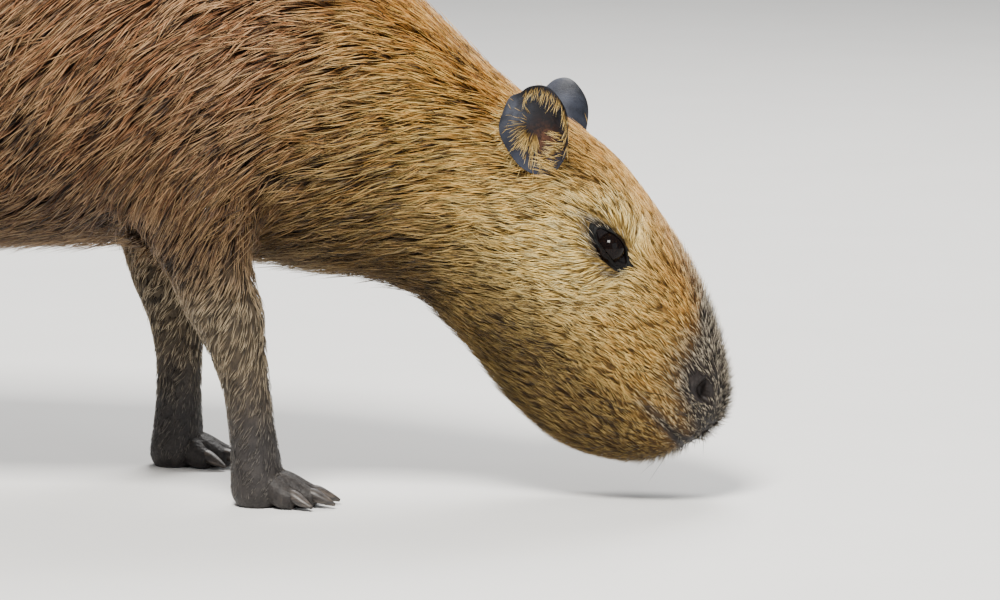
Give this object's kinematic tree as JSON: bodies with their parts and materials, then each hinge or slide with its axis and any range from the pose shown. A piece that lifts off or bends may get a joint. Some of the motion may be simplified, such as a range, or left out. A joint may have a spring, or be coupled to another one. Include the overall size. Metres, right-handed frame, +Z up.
{
  "type": "life-size capybara model",
  "caption": "Life-size still model of an adult capybara grazing, head lowered to the ground, standing on four feet, with a coarse brown coat, small round ears and a blunt muzzle.",
  "frame": {"origin": "middle of the animal's bounding box, on the floor between its feet", "axes": "+X towards the animal's nose, +Y to its left, +Z up"},
  "size_m": [1.1278, 0.3322, 0.54],
  "materials": {
    "coat": "coarse brown hair, reddish on the back, yellowish on the head, darker on muzzle and feet",
    "ear_skin": "dark bare skin with thin hair",
    "eye": "wet dark brown, nearly black",
    "claw": "dark horn, slightly worn"
  },
  "bodies": {
    "root": {"torso": "coat", "neck": "coat", "head": "coat", "foreleg_right": "coat", "foreleg_left": "coat", "hindleg_right": "coat", "hindleg_left": "coat", "ear_right": "ear_skin", "ear_left": "ear_skin", "eye_right": "eye", "eye_left": "eye", "claw_foreleg_right_1": "claw", "claw_foreleg_right_2": "claw", "claw_foreleg_right_3": "claw", "claw_foreleg_right_4": "claw", "claw_foreleg_left_1": "claw", "claw_foreleg_left_2": "claw", "claw_foreleg_left_3": "claw", "claw_foreleg_left_4": "claw", "claw_hindleg_right_1": "claw", "claw_hindleg_right_2": "claw", "claw_hindleg_right_3": "claw", "claw_hindleg_left_1": "claw", "claw_hindleg_left_2": "claw", "claw_hindleg_left_3": "claw"}
  },
  "joints": []
}
